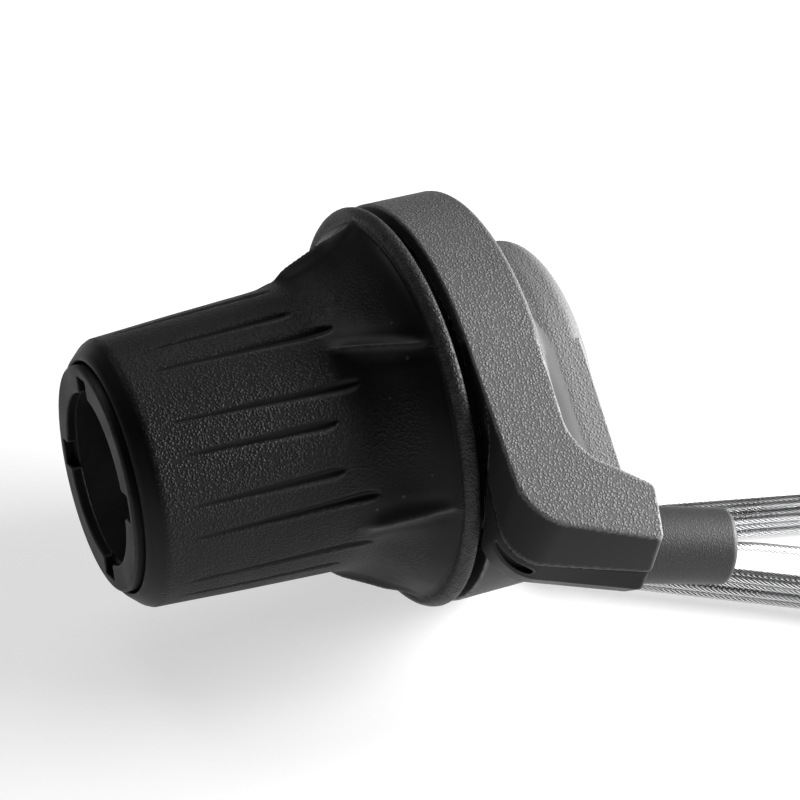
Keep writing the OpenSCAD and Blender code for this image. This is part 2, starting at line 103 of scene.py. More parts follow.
TAIL = [[19, -38.1, -8.9], [26, -39.8, -10.9], [34, -42, -14.2], [42, -44.4, -17.8],
        [49, -46.4, -20.5], [55, -48.2, -22.1], [60, -50, -22.9], [63, -51.2, -23.3]]
HANK_TIP = (12.22, -11.1)
HANK_DEG = -26.5
HANK_RUN = 59.7
HANK_LIFT = 0.5
TIP_OUT, END_OUT = 6.7, 16.5
TURNS, TURN_STEPS = 11.57, 56
ABREAST, DEEP = 3, 4
COLUMN_GAP, LAYER_GAP, NEST = 1.22, 1.12, 0.12
CAP_Y, CAP_Z = 2.05, 1.0
CAP_ALONG = (13.5, 16.2, 19, 22)
STRANDS, LAY = 12, 9.0


def catmull(knots, steps):
    """Points of the Catmull-Rom curve through knots[1:-1], steps for each span. Between the knots b and c,
    with a before and d after them, it is half of 2b + (c - a)t + (2a - 5b + 4c - d)t^2 + (3b - a - 3c +
    d)t^3."""
    k = np.array(knots, float)
    t = (np.arange(steps) / steps)[:, None]
    spans = []
    for a, b, c, d in zip(k[:-3], k[1:-2], k[2:-1], k[3:]):
        square = 2 * a - 5 * b + 4 * c - d
        cube = 3 * b - a - 3 * c + d
        spans.append(0.5 * (2 * b + (c - a) * t + square * t**2 + cube * t**3))
    return np.vstack(spans + [k[-2:-1]])


def on_circle(middle, radius, angle):
    """Points at this angle of a circle whose centre is at (middle, 0)."""
    return np.stack([middle + radius * np.cos(angle), radius * np.sin(angle)], -1)


def drop(u, r0, r1):
    """Points of a teardrop round two circles, with radius r0 at the tip and r1 at the end, HANK_RUN apart.
    u is the share of the way round, from the middle of the end circle's far side and over the upper side
    first. The five parts are end arc, upper line, tip arc, lower line and end arc. The lines touch both
    circles where the cosine of the angle is (r0 - r1) / HANK_RUN."""
    a = np.arccos((r0 - r1) / HANK_RUN)
    line = HANK_RUN * np.sin(a)
    ends = np.cumsum(np.stack([r1 * a, line, r0 * (2 * np.pi - 2 * a), line, r1 * a], -1), -1)
    d = (u % 1.0) * ends[..., -1]
    k = (d[..., None] > ends[..., :4]).sum(-1)
    before = np.take_along_axis(ends, np.maximum(k - 1, 0)[..., None], -1)[..., 0]
    f = d - np.where(k > 0, before, 0)
    up0, up1 = on_circle(HANK_RUN, r1, a), on_circle(0, r0, a)
    low0, low1 = up1 * [1, -1], up0 * [1, -1]
    w = (f / line)[..., None]
    choices = [on_circle(HANK_RUN, r1, f / r1), up0 + (up1 - up0) * w, on_circle(0, r0, a + f / r0),
               low0 + (low1 - low0) * w, on_circle(HANK_RUN, r1, 2 * np.pi - a + f / r1)]
    return np.select([(k == i)[..., None] for i in range(5)], choices)


def hank_line():
    """Centreline of all turns of the hank, in its own plane. The turns lie three side by side, from the top
    layer down to the surface, each layer in the hollows of the one under it. A turn eases into the next one
    over the end circle, and the last one runs past the tip and eases inwards to the crimped cap."""
    u = np.arange(int(TURNS * TURN_STEPS) + 1) / TURN_STEPS
    turn = np.minimum(np.floor(u).astype(int), int(TURNS))
    ease = smooth_step(u - turn, 0.86, 1)
    place = np.maximum(ABREAST * DEEP - 1 - np.arange(int(TURNS) + 2), 0)
    layer, column = place // ABREAST, place % ABREAST
    odd = layer % 2 == 1
    column = np.where(odd, column, ABREAST - 1 - column)
    offset = (TIP_OUT - WIRE_D / 2 - NEST) - column * COLUMN_GAP + np.where(odd, NEST, -NEST)
    height = HANK_LIFT + WIRE_D / 2 + layer * LAYER_GAP
    r0 = offset[turn] * (1 - ease) + offset[turn + 1] * ease
    z = height[turn] * (1 - ease) + height[turn + 1] * ease
    sway = 0.1 * np.sin(2 * np.pi * (u * 1.37 + turn * 0.31)) * np.clip(u, 0, 1) * np.clip(11.4 - u, 0, 1)
    p = drop(u, r0, r0 + (END_OUT - TIP_OUT) + sway)
    side = (TIP_OUT - END_OUT) / HANK_RUN
    run = np.array([np.sqrt(1 - side * side), side])
    across = np.array([side, -run[0]])
    knots = list(p[-3:]) + [run * d + across * CAP_Y for d in CAP_ALONG]
    heights = list(z[-3:]) + [CAP_Z] * len(CAP_ALONG)
    last = catmull(np.column_stack([knots, heights]), 5)
    return np.vstack([np.column_stack([p, z])[:-2], last])


def to_world(p):
    """From the hank's own frame to the part's: turned by HANK_DEG, with its tip at HANK_TIP on the floor."""
    a = np.radians(HANK_DEG)
    x = HANK_TIP[0] + np.cos(a) * p[:, 0] - np.sin(a) * p[:, 1]
    y = HANK_TIP[1] + np.sin(a) * p[:, 0] + np.cos(a) * p[:, 1]
    return np.column_stack([x, y, FLOOR_Z + p[:, 2]])


mouth = exit_point(STOP_LEN)
mouth_dir = arm_point(np.cos(EXIT), np.sin(EXIT), 0)
hank = to_world(hank_line())
start = np.argmin(np.linalg.norm(hank[:TURN_STEPS] - TAIL[-1], axis=1)) + 3
knots = [mouth - 5 * mouth_dir, mouth, mouth + 2.5 * mouth_dir] + TAIL + list(hank[start:start + 3])
route = np.vstack([catmull(knots, 6), hank[start + 2:]])


def tube(name, path, radius, sides=10):
    """Mesh of a round rod along path: a grid of rings, each square to the path. Its map counts turns round
    the rod in u and millimetres along it in v."""
    t = np.gradient(path, axis=0)
    t /= np.linalg.norm(t, axis=1)[:, None]
    side = np.cross(t, [0, 0, 1.0])
    side /= np.linalg.norm(side, axis=1)[:, None]
    top = np.cross(side, t)
    a = (np.arange(sides) * 2 * np.pi / sides)[None, :, None]
    ring = np.cos(a) * side[:, None, :] + np.sin(a) * top[:, None, :]
    obj = grid_mesh(name, path[:, None, :] + ring * radius, wrap=True, caps=True)
    along = np.concatenate([[0], np.cumsum(np.linalg.norm(np.diff(path, axis=0), axis=1))])
    u = (np.arange(sides)[None, :, None] + np.array([0, 1, 1, 0])) / sides
    v = np.stack([along[:-1], along[:-1], along[1:], along[1:]], -1)[:, None, :]
    uv = np.stack(np.broadcast_arrays(u, v), -1).reshape(-1, 2)
    uv = np.vstack([uv, np.zeros((2 * sides, 2))])
    obj.data.uv_layers.new(name="lay").data.foreach_set("uv", uv.astype(np.float32).ravel())
    return obj


def grid_mesh(name, points, wrap=False, caps=False):
    """Mesh of a grid of points in millimetres, rows by columns, with quads between neighbours. wrap joins
    the last column to the first, and caps closes both end rows."""
    rows, cols = points.shape[:2]
    idx = np.arange(rows * cols).reshape(rows, cols)
    nxt = np.roll(idx, -1, axis=1) if wrap else idx[:, 1:]
    cur = idx if wrap else idx[:, :-1]
    quads = np.stack([cur[:-1], nxt[:-1], nxt[1:], cur[1:]], -1).reshape(-1, 4)
    mesh = bpy.data.meshes.new(name)
    faces = quads.tolist()
    if caps:
        faces += [idx[0][::-1].tolist(), idx[-1].tolist()]
    mesh.from_pydata((points.reshape(-1, 3) * MM).tolist(), [], faces)
    mesh.polygons.foreach_set("use_smooth", [True] * len(faces))
    mesh.update()
    obj = bpy.data.objects.new(name, mesh)
    bpy.context.scene.collection.objects.link(obj)
    return obj


def rmin(a, b, r):
    """Union of two distance fields with a fillet of radius r between them."""
    return np.maximum(r, np.minimum(a, b)) - np.hypot(np.maximum(r - a, 0), np.maximum(r - b, 0))


def rmax(a, b, r):
    """Intersection of two distance fields with an edge radius r."""
    return np.minimum(-r, np.maximum(a, b)) + np.hypot(np.maximum(r + a, 0), np.maximum(r + b, 0))


def implicit_mesh(name, field, low, high, cell):
    """Closed mesh of the surface where field is zero. field takes points as rows, in millimetres, and is
    negative inside. One vertex is set in each grid cell that the surface crosses, at the mean of its
    crossings, and slid along the field's gradient onto the surface. The gradient is also the vertex's
    normal. The attribute edge is high where the field's Laplacian says that the surface bends outward."""
    low = np.array(low, float)
    count = np.ceil((np.array(high, float) - low) / cell).astype(int) + 1
    axes = [low[i] + cell * np.arange(count[i]) for i in range(3)]
    values = np.empty(count)
    for i, x in enumerate(axes[0]):
        slab = np.stack(np.meshgrid([x], axes[1], axes[2], indexing="ij"), -1).reshape(-1, 3)
        values[i] = field(slab).reshape(count[1], count[2])
    inside = values < 0
    corners = np.array([[i & 1, i >> 1 & 1, i >> 2] for i in range(8)])
    size = count - 1
    total = np.zeros(size, np.int8)
    for a, b, c in corners:
        total += inside[a:a + size[0], b:b + size[1], c:c + size[2]]
    cells = np.argwhere((total > 0) & (total < 8))
    index = np.full(size, -1)
    index[tuple(cells.T)] = np.arange(len(cells))
    v = np.stack([values[tuple((cells + c).T)] for c in corners], 1)
    mean, hits = np.zeros((len(cells), 3)), np.zeros(len(cells))
    for i in range(8):
        for j in (i | 1, i | 2, i | 4):
            if j != i:
                cut = (v[:, i] < 0) != (v[:, j] < 0)
                t = np.where(cut, v[:, i] / np.where(cut, v[:, i] - v[:, j], 1), 0)
                mean += cut[:, None] * (corners[i] + t[:, None] * (corners[j] - corners[i]))
                hits += cut
    points = low + cell * (cells + mean / hits[:, None])
    quads = []
    for axis, (b, c) in enumerate([(1, 2), (2, 0), (0, 1)]):
        first, second, shift = [slice(1, -1)] * 3, [slice(1, -1)] * 3, np.array([1, 1, 1])
        first[axis], second[axis], shift[axis] = slice(0, -1), slice(1, None), 0
        here, there = inside[tuple(first)], inside[tuple(second)]
        eb, ec = np.eye(3, dtype=int)[b], np.eye(3, dtype=int)[c]
        for mask, order in ((here & ~there, [0, 1, 2, 3]), (~here & there, [3, 2, 1, 0])):
            p = np.argwhere(mask) + shift
            around = [index[tuple(q.T)] for q in (p - eb - ec, p - ec, p, p - eb)]
            quads.append(np.stack([around[k] for k in order], 1))
    quads = np.vstack(quads)

    def gradient(p):
        return np.stack([field(p + d) - field(p - d) for d in 0.02 * np.eye(3)], 1) / 0.04

    for _ in range(4):
        g = gradient(points)
        step = field(points)[:, None] * g / np.maximum((g * g).sum(1), 0.1)[:, None]
        points -= np.clip(step, -0.4 * cell, 0.4 * cell)
    normals = gradient(points)
    normals /= np.maximum(np.linalg.norm(normals, axis=1), 1e-6)[:, None]
    mesh = bpy.data.meshes.new(name)
    mesh.vertices.add(len(points))
    mesh.vertices.foreach_set("co", (points * MM).astype(np.float32).ravel())
    mesh.loops.add(quads.size)
    mesh.loops.foreach_set("vertex_index", quads.ravel().astype(np.int32))
    mesh.polygons.add(len(quads))
    mesh.polygons.foreach_set("loop_start", np.arange(0, quads.size, 4, dtype=np.int32))
    mesh.update(calc_edges=True)
    mesh.polygons.foreach_set("use_smooth", np.ones(len(quads), bool))
    mesh.normals_split_custom_set_from_vertices(normals.tolist())
    obj = bpy.data.objects.new(name, mesh)
    bpy.context.scene.collection.objects.link(obj)
    bend = sum(field(points + d) + field(points - d) for d in 0.3 * np.eye(3)) / 0.09
    attribute(obj, "edge", np.clip(bend * 0.5 - 0.55, 0, 1))
    return obj, points


def attribute(obj, name, values):
    """Stores one value for each vertex of the piece."""
    a = obj.data.attributes.new(name, "FLOAT", "POINT")
    a.data.foreach_set("value", np.asarray(values, np.float32))


wire = tube("free_wire", route, WIRE_D / 2)
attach(wire, "housing_body")
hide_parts("cable_tail", "cable_hank")

# Housing, lower cover, ring and casing stop

STOP_R, BORE_R, BORE_FLOOR, WIRE_HOLE_R = 4.95, 3.1, 3.1, 1.2
NOTCH_X, NOTCH_S = -6.2, 17.6
SLIT_X, SLIT_S, SLIT_H, SLIT_R = -12.6, 24.6, 19.4, 4.9
COVER_SCREWS = ((-13.3, 24.9, 16), (-2, 24.6, 13.5))


def turned(p, degrees):
    """Local y and z of the frame that is turned round the bar by this theta."""
    a = np.radians(degrees)
    return p[:, 1] * np.cos(a) + p[:, 2] * np.sin(a), -p[:, 1] * np.sin(a) + p[:, 2] * np.cos(a)


def box(x, y, z, x0, x1, y0, y1, z0, z1, r=0.0):
    """Distance to a box with edge radius r."""
    if r == 0:
        return np.maximum.reduce([x0 - x, x - x1, y0 - y, y - y1, z0 - z, z - z1])
    return rmax(rmax(rmax(x0 - x, x - x1, r), rmax(y0 - y, y - y1, r), r), rmax(z0 - z, z - z1, r), r)


def over_line(u, v, u0, v0, u1, v1):
    """Distance of (u, v) beyond the line through (u0, v0) and (u1, v1), positive where v is larger."""
    m = (v1 - v0) / (u1 - u0)
    return (v - v0 - m * (u - u0)) / np.hypot(1, m)


def shell_outside(x, rho):
    """Band, cap and the cove between them, as a body of revolution."""
    band = rmax(rmax(rho - BAND_R, x + 5, 0.7), BAND_X - x, 0.35)
    cap = rmax(rho - 18.5, x - 5.2, 2.5)
    return rmin(band, cap, 4.2)


def arm_walls(x, s, k, q):
    """Distance to the arm's upright walls. k spreads them from the ridge of its top, 0, to the foot of its
    bevel, 1, and q bulges the lower half. The end wall runs from corner a to corner b, the casing stop's
    face from b to c, and the notch from c back to the cove."""
    ramp = 0.5 * (s - 9 + np.hypot(s - 9, 3))
    outer = 0.97 * (BAND_X - 0.1 * k - (0.3 + 2.2 * k) * ramp / (16.3 + 3.3 * k + 0.5 * q) - x)
    xa, sa = -15.2 - 2.3 * k, 25.3 + 3.3 * k + 0.5 * q
    xb, sb = 1.2 - 0.6 * k - 0.2 * q, 32.1 + 2.4 * k + 1.2 * q
    xc, sc = 2.7 + 0.1 * k, 24.8 - 0.6 * k - q
    end = over_line(x, s, xa, sa, xb, sb)
    face = over_line(s, x, sb, xb, sc, xc)
    notch = rmin(x - NOTCH_X - 0.046 * (NOTCH_S - s), -over_line(x, s, NOTCH_X, NOTCH_S, xc, sc), 3)
    return rmax(rmax(rmax(outer, end, 4.5), face, 0.8), notch, 0.8)


def stop_frame(x, s, h):
    """Distance along the casing stop's axis from the arm's face, and from that axis."""
    along = (x - FACE_X) * np.cos(EXIT) + (s - FACE_S) * np.sin(EXIT)
    return along, np.hypot((s - FACE_S) * np.cos(EXIT) - (x - FACE_X) * np.sin(EXIT), h - PULL_R)


def arm_coords(p):
    """Of points in the part's frame: x, distance along the arm's top, height, and radius from the bar."""
    y, z = turned(p, ARM_DEG)
    return p[:, 0], -y, z, np.hypot(p[:, 1], p[:, 2])


def upper_arm(x, s, h):
    """Distance to the arm above its parting line. Its top leaves the band at a tangent."""
    walls = arm_walls(x, s, np.clip((26.4 - h) / 4.2, -0.15, 1), 0)
    return np.maximum(rmax(rmax(walls, h - BAND_R, 0.3), PARTING_H - h, 0.12), -s)


def lower_arm(x, s, h):
    """Distance to the arm below its parting line, where the walls close in again towards the foot."""
    levels = (12, 13.5, 18, PARTING_H)
    k = np.interp(h, levels, [0.5, 0.8, 1, 0.96])
    q = np.interp(h, levels, [0.2, 0.6, 1, 0])
    walls = rmax(arm_walls(x, s, k, q), 15.5 - s, 0.4)
    return rmax(rmax(walls, h - PARTING_H + 0.06, 0.15), levels[0] - h, 0.9)


def stop_hole(x, s, h):
    """Distance to the stepped hole that the casing stop sits in."""
    along, off = stop_frame(x, s, h)
    return np.minimum(np.maximum(off - 5.0, -STOP_SEAT - along), np.maximum(off - 4.1, -STOP_NOSE - along))


def outside_rim_room(x, rho):
    """Distance to the room that the grip's rim turns in, outboard of the band."""
    return np.maximum(rho - RIM_ROOM_R, x - BAND_X)


def housing_field(p):
    """Distance to the housing: band, cap, arm top and web, less the room for drum, bar, clamp and wire."""
    x, s, h, rho = arm_coords(p)
    arm = rmax(upper_arm(x, s, h), -outside_rim_room(x, rho), 0.15)
    y46, z46 = turned(p, 46)
    web = box(x, -y46, z46, -5.5, 4.1, 0, 24, 16.5, 18.5, 0.3)
    web = np.maximum(web, -(lower_arm(x, s, h) - 0.06))
    out = rmin(shell_outside(x, rho), arm, 0.5 * smooth_step(s, 5, 12))
    out = rmin(out, web, 1.2 * smooth_step(-y46, 3, 9))
    ye, ze = turned(p, 200)
    drum_room = np.maximum(rho - 24.6, x + 6.6)
    core_room = box(x, rho, 0 * x, -7.6, 3.8, -1, 17, -1, 1)
    collar_room = np.maximum(rho - 15, -x)
    clamp_room = box(x, ye, ze, -5, 7, -13, 13, 12, 32, 0.8)
    out = rmax(out, -np.minimum.reduce([drum_room, core_room, collar_room, clamp_room]), 0.25)
    channel = box(x, -s, h, -13.7, -8.7, -21, -8, 15, PARTING_H)
    return np.maximum(np.maximum(out, -channel), -stop_hole(x, s, h))


def cover_field(p):
    """Distance to the lower cover, with the cable guide's curved slit and both screws' holes and seats."""
    x, s, h, rho = arm_coords(p)
    body = rmax(lower_arm(x, s, h), -(shell_outside(x, rho) - 0.05), 0.1)
    body = rmax(body, -outside_rim_room(x, rho), 0.15)
    px, ps = x - SLIT_X, SLIT_S - s
    turn = np.radians(np.clip(np.degrees(np.arctan2(ps, px)) % 360, 192, 254))
    off = np.hypot(px - SLIT_R * np.cos(turn), ps - SLIT_R * np.sin(turn))
    body = rmax(body, 0.75 - np.hypot(off, h - SLIT_H), 0.15)
    for px, ps, seat in COVER_SCREWS:
        off = np.hypot(x - px, s - ps)
        body = rmax(body, -np.maximum(off - 2.3, h - seat), 0.15)
        body = np.maximum(body, 1.1 - off)
    return np.maximum(body, -stop_hole(x, s, h))


def ring_field(p):
    """Distance to the end ring: a flat turned ring with a rebate and four key notches."""
    x, rho = p[:, 0], np.hypot(p[:, 1], p[:, 2])
    ring = rmax(rmax(rho - 14.8, -58 - x, 0.45), x + 55, 0.1)
    ring = rmax(ring, 11.3 - rho, 0.25)
    ring = np.maximum(ring, -np.maximum(rho - 12.55, -56.6 - x))
    for a in (0, 90, 180, 270):
        y, z = turned(p, a - 14.7)
        ring = rmax(ring, -box(x, y, z, -60, -56.4, -1.8, 1.8, 8, 13.5, 0.3), 0.18)
    return ring


def stop_field(p):
    """Distance to the casing stop: a turned tube with a nose, a casing bore and a hole for the wire."""
    x, s, h, rho = arm_coords(p)
    along, off = stop_frame(x, s, h)
    body = rmax(rmax(off - STOP_R, along - STOP_LEN, 0.8), -STOP_SEAT - along, 0.1)
    nose = rmax(off - 4.05, rmax(-STOP_NOSE - along, along, 0.1), 0.1)
    chamfer = np.maximum(along - STOP_LEN + 0.6, 0)
    bore = np.minimum(off - WIRE_HOLE_R, np.maximum(off - BORE_R - chamfer, BORE_FLOOR - along))
    return rmax(np.minimum(body, nose), -bore, 0.15)


FINE_PIECES = (
    ("housing_shell", "housing", "textured_plastic",
     housing_field, (-18.5, -41.5, -27.8), (5.8, 27.8, 27.8), 0.34),
    ("tray", "lower_cover", "smooth_plastic",
     cover_field, (-18.6, -41.8, -16), (3.6, -15, 9), 0.2),
    ("key_ring", "end_ring", "smooth_plastic",
     ring_field, (-58.5, -15.5, -15.5), (-54.5, 15.5, 15.5), 0.17),
    ("stop_tube", "casing_stop", "stop_plastic",
     stop_field, (-4, -42.5, -14), (15, -28, 0), 0.2))
made = {}
for name, replaced, slot, field, low, high, cell in FINE_PIECES:
    obj, points = implicit_mesh(name, field, low, high, cell)
    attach(obj, "housing_body")
    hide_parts(replaced)
    made[name] = (obj, points)

# Rubber sleeve

COLUMNS = 540
CREST_AXIS = 65
GROOVE_X = -52.9
CHAMFER = [(15.15, -54.5), (15.15, -56.6), (15.25, -56.85), (15.5, -56.9), (15.75, -56.82), (16.2, -56.35),
           (16.7, -55.82), (17.1, -55.38), (17.3, -55.1), (17.44, -54.8), (17.55, -54.6)]
RIM = [(25.35, -18.45), (25.8, -18.5), (26.25, -18.42), (26.6, -18.2), (26.87, -17.9), (27.04, -17.55),
       (27.1, -17.2), (27.05, -16.9), (26.9, -16.7), (26.7, -16.6), (25.6, -16.6), (24.25, -16.6),
       (24.25, -18.2)]
BARREL = [(-54.4, 17.62), (-50, 17.9), (-44, 18.3), (-37, 18.7)]
VALLEY = BARREL + [(-31, 19.02), (-28.5, 19.12), (-27, 19.25), (-26, 19.5), (-24, 20.5), (-22, 22),
                   (-20, 23.7), (-19, 24.5), (-18.4, 24.85)]
RIDGE = BARREL + [(-31.5, 19.05), (-29.3, 19.75), (-27, 20.9), (-24, 22.4), (-22.5, 23.2), (-21, 23.8),
                  (-20, 24.35), (-19, 25.2), (-18.4, 25.8)]
GROOVES = ((9.95, -31.5), (23.25, -27.5), (47.45, -28), (60.75, -31.5), (84.95, -31.5), (98.25, -27.5),
           (122.45, -28), (135.75, -31.5), (159.95, -31.5), (173.25, -27.5))


def smooth_curve(x, knots):
    """Smooth value through knots of (x, value): cubic pieces with slopes that never overshoot. The slope at
    a knot is the harmonic mean of its neighbours' slopes, or 0 where they differ in sign."""
    k = np.array(knots, float)
    d = np.diff(k[:, 1]) / np.diff(k[:, 0])
    before, after = d[:-1], d[1:]
    inner = np.where(after * before > 0, 2 * after * before / (after + before + 1e-12), 0)
    slope = np.concatenate([d[:1], inner, d[-1:]])
    i = np.clip(np.searchsorted(k[:, 0], x) - 1, 0, len(k) - 2)
    w = k[i + 1, 0] - k[i, 0]
    t = np.clip((x - k[i, 0]) / w, 0, 1)
    return ((1 + 2 * t) * (1 - t)**2 * k[i, 1] + t * (1 - t)**2 * w * slope[i]
            + t * t * (3 - 2 * t) * k[i + 1, 1] + t * t * (t - 1) * w * slope[i + 1])


def from_crest(x, theta):
    """Degrees from the nearest of the six lobe crests. The crests lie 30, 90 and 150 degrees to both sides
    of CREST_AXIS, and lean 12 degrees towards it on their way to the rim."""
    side = np.abs(signed(theta - CREST_AXIS))
    lean = 12 * (np.clip((x + 29.3) / 10.3, -0.1, 1.1) - 0.5)
    side = side + lean * np.clip(side / 30, 0, 1) * np.clip((180 - side) / 30, 0, 1)
    return side % 60 - 30


def signed(degrees):
    """The same direction as an angle from -180 to 180."""
    return (degrees + 180) % 360 - 180


def grooves(x, theta, r):
    """Depth of the grooves, and a mask of a painted highlight on their lit edges. A groove is a lens-shaped
    dent, pointed outboard, that widens and deepens from GROOVE_X to its own end and has a low bank on both
    sides."""
    dent, groove_highlight = np.zeros_like(r), np.zeros_like(r)
    for off, x1 in [(side * off, x1) for off, x1 in GROOVES for side in (-1, 1)]:
        along = np.clip((x - GROOVE_X) / (x1 - GROOVE_X), 0, 1)
        lean = -np.sign(off) * (along - 0.5) * (3.2 if abs(off) % 50 > 20 else 1.2)
        across = np.radians(signed(theta - CREST_AXIS - off - lean)) * r
        tip = np.clip((x1 + 0.5 - x) / 2.4, 0, 1)
        fade = np.sqrt(np.clip(1 - (1 - tip)**2, 0, 1))
        half = (0.14 + 0.5 * along**0.8) * fade
        depth = (0.16 + 0.4 * along) * np.clip((x - GROOVE_X) / 3, 0, 1) * fade
        u = np.clip(np.abs(across) / np.maximum(half, 0.05), 0, 4)
        dent = np.maximum(dent, depth * np.exp(-1.2 * u**3))
        dent -= 0.1 * depth * np.exp(-((u - 1.75) / 0.5)**2)
        # Painted highlight along the lit edge of each groove, on one side only.
        groove_highlight = np.maximum(groove_highlight, (across > 0) * along * (depth > 0.02) * np.exp(-((u - 1.5) / 0.4)**2))
    return dent, groove_highlight


def sleeve():
    """Grid of the rubber: rows follow the profile from the end chamfer over the barrel and flare to the
    rim, columns go round the bar. Radius = valley + (ridge - valley) * f(angle from the nearest lobe's
    crest) - grooves, where f falls from 1 at the crest to 0 half-way to the next one, and a fine bead runs
    along each crest of the flare."""
    theta = np.degrees(np.arange(COLUMNS) * 2 * np.pi / COLUMNS)[None, :]
    body_x = np.concatenate([np.linspace(-54.4, -33, 62), np.linspace(-32.7, -18.4, 66)])
    x = body_x[:, None]
    crest = from_crest(x, theta)
    f = np.clip(1 - (np.hypot(crest, 0.5) - 0.5) / 29.5, 0, 1)**3.2
    valley, ridge = smooth_curve(body_x, VALLEY)[:, None], smooth_curve(body_x, RIDGE)[:, None]
    r = valley + (ridge - valley) * f
    rise = smooth_step(x, -29.6, -27) * smooth_step(-x, 18.4, 20.5)
    off_crest = np.radians(np.abs(crest)) * r
    r = r + rise * (0.3 * np.exp(-(off_crest / 0.4)**2) - 0.16 * np.exp(-((off_crest - 1.7) / 0.9)**2))
    dent, groove_highlight = grooves(x, theta, r)
    r = r - dent
    chamfer = np.array(CHAMFER)[:, None, :] + np.zeros((1, COLUMNS, 1))
    rim = np.array(RIM)[:, None, :] + np.zeros((1, COLUMNS, 1))
    share = np.clip(1 - (rim[..., 0] - 25.3) / 1.2, 0, 1) * (rim[..., 1] < -18)
    rim[..., 0] += np.clip(share * (r[-1] - VALLEY[-1][1])[None, :], 0, 1)
    profile = np.vstack([chamfer, np.stack([r, np.broadcast_to(x, r.shape)], -1), rim])
    px, pr = profile[..., 1], profile[..., 0]
    pts = np.stack([px, -pr * np.sin(np.radians(theta)), pr * np.cos(np.radians(theta))], -1)
    away = np.abs(from_crest(px, theta))
    middle = np.exp(-((30 - away) / 16)**2)
    flare = smooth_step(px, -30.5, -28.8)
    on_rim = px > -20
    barrel = slice(len(CHAMFER), len(CHAMFER) + len(body_x))
    all_dent, all_groove_highlight = np.zeros_like(pr), np.zeros_like(pr)
    all_dent[barrel], all_groove_highlight[barrel] = dent, groove_highlight
    grain = (1 - flare) + flare * middle * 0.75 * smooth_step(-px, 19.6, 22.5)
    grain = grain * smooth_step(px, -55.2, -54.6) + smooth_step(pr, 24.9, 25.6) * on_rim
    grain = np.clip(grain * (1 - smooth_step(all_dent, 0.04, 0.2)), 0, 1)
    # Painted highlights: a light line along each crest of the flare, a lighter rim and the lit edge of each
    # groove.
    edge = 0.9 * np.exp(-(away / 1.1)**2) * flare * smooth_step(-px, 18.6, 19.6)
    edge = edge + 0.6 * smooth_step(pr, 25.5, 26.6) * on_rim + 0.8 * all_groove_highlight
    return pts, grain, edge


pts, grain, edge = sleeve()
grip = grid_mesh("grip_rubber", pts[:, ::-1], wrap=True)
attribute(grip, "grain", grain[:, ::-1].ravel())
attribute(grip, "edge", edge[:, ::-1].ravel())
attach(grip, "grip_body")
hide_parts("grip_sleeve")

# Shader building blocks


def plug(tree, socket, value):
    """Sets an input socket to a value, or links it to another node's output."""
    if isinstance(value, bpy.types.NodeSocket):
        tree.links.new(value, socket)
    else:
        socket.default_value = value


def node(tree, kind, links=(), **settings):
    """New shader node. links pairs an input's name or number with a value or another node's output."""
    new = tree.nodes.new("ShaderNode" + kind)
    for key, value in settings.items():
        setattr(new, key, value)
    for key, value in links:
        plug(tree, new.inputs[key], value)
    return new


def math(tree, operation, *values):
    """Result of one math step on numbers or sockets."""
    return node(tree, "Math", enumerate(values), operation=operation).outputs[0]


def vector_math(tree, operation, links):
    """Result of one math step on vectors."""
    return node(tree, "VectorMath", links, operation=operation).outputs[0]


def ramp(tree, value, low, high, out_low=0.0, out_high=1.0):
    """Smooth change from out_low to out_high as value goes from low to high."""
    links = (("Value", value), ("From Min", low), ("From Max", high),
             ("To Min", out_low), ("To Max", out_high))
    return node(tree, "MapRange", links, interpolation_type="SMOOTHSTEP").outputs["Result"]


def mix(tree, factor, first, second):
    """Colour between first and second. The node's sockets share names, so the type picks one as well."""
    new = node(tree, "Mix", data_type="RGBA")
    for key, kind, value in (("Factor", "VALUE", factor), ("A", "RGBA", first), ("B", "RGBA", second)):
        plug(tree, next(i for i in new.inputs if i.name == key and i.type == kind), value)
    return next(o for o in new.outputs if o.type == "RGBA")


def new_group(name, inputs, outputs):
    """Empty node group with these named sockets. Returns its tree, its input node and its output node."""
    tree = bpy.data.node_groups.new(name, "ShaderNodeTree")
    for label, kind, value in inputs:
        socket = tree.interface.new_socket(label, in_out="INPUT", socket_type="NodeSocket" + kind)
        socket.default_value = value
    for label, kind in outputs:
        tree.interface.new_socket(label, in_out="OUTPUT", socket_type="NodeSocket" + kind)
    return tree, tree.nodes.new("NodeGroupInput"), tree.nodes.new("NodeGroupOutput")


def pebble_group():
    """Leathery mould grain: rounded pebbles of about Size millimetres with creases between them. Height is
    low in a crease and near 1 on a pebble's crown, and Crown marks the crowns alone."""
    tree, inp, out = new_group("pebble_grain", (("Size", "Float", 0.4), ("Wander", "Float", 0.5)),
                               (("Height", "Float"), ("Crown", "Float")))
    place = node(tree, "TexCoord").outputs["Object"]
    scale = math(tree, "DIVIDE", 1000, inp.outputs["Size"])
    grid = vector_math(tree, "SCALE", ((0, place), ("Scale", scale)))
    warp = node(tree, "TexNoise", (("Vector", grid), ("Scale", 0.9), ("Detail", 1))).outputs["Color"]
    warp = vector_math(tree, "SUBTRACT", ((0, warp), (1, (0.5, 0.5, 0.5))))
    warp = vector_math(tree, "SCALE", ((0, warp), ("Scale", inp.outputs["Wander"])))
    bent = vector_math(tree, "ADD", ((0, grid), (1, warp)))
    cells = node(tree, "TexVoronoi", (("Vector", bent), ("Scale", 1.0)), feature="SMOOTH_F1")
    cells.inputs["Smoothness"].default_value = 0.35
    crown = ramp(tree, cells.outputs["Distance"], 0.12, 0.62, 1.0, 0.0)
    fine = node(tree, "TexNoise", (("Vector", grid), ("Scale", 2.6), ("Detail", 1))).outputs[0]
    height = math(tree, "ADD", math(tree, "MULTIPLY", crown, 0.75), math(tree, "MULTIPLY", fine, 0.35))
    tree.links.new(height, out.inputs["Height"])
    tree.links.new(math(tree, "MULTIPLY", crown, fine), out.inputs["Crown"])
    return tree


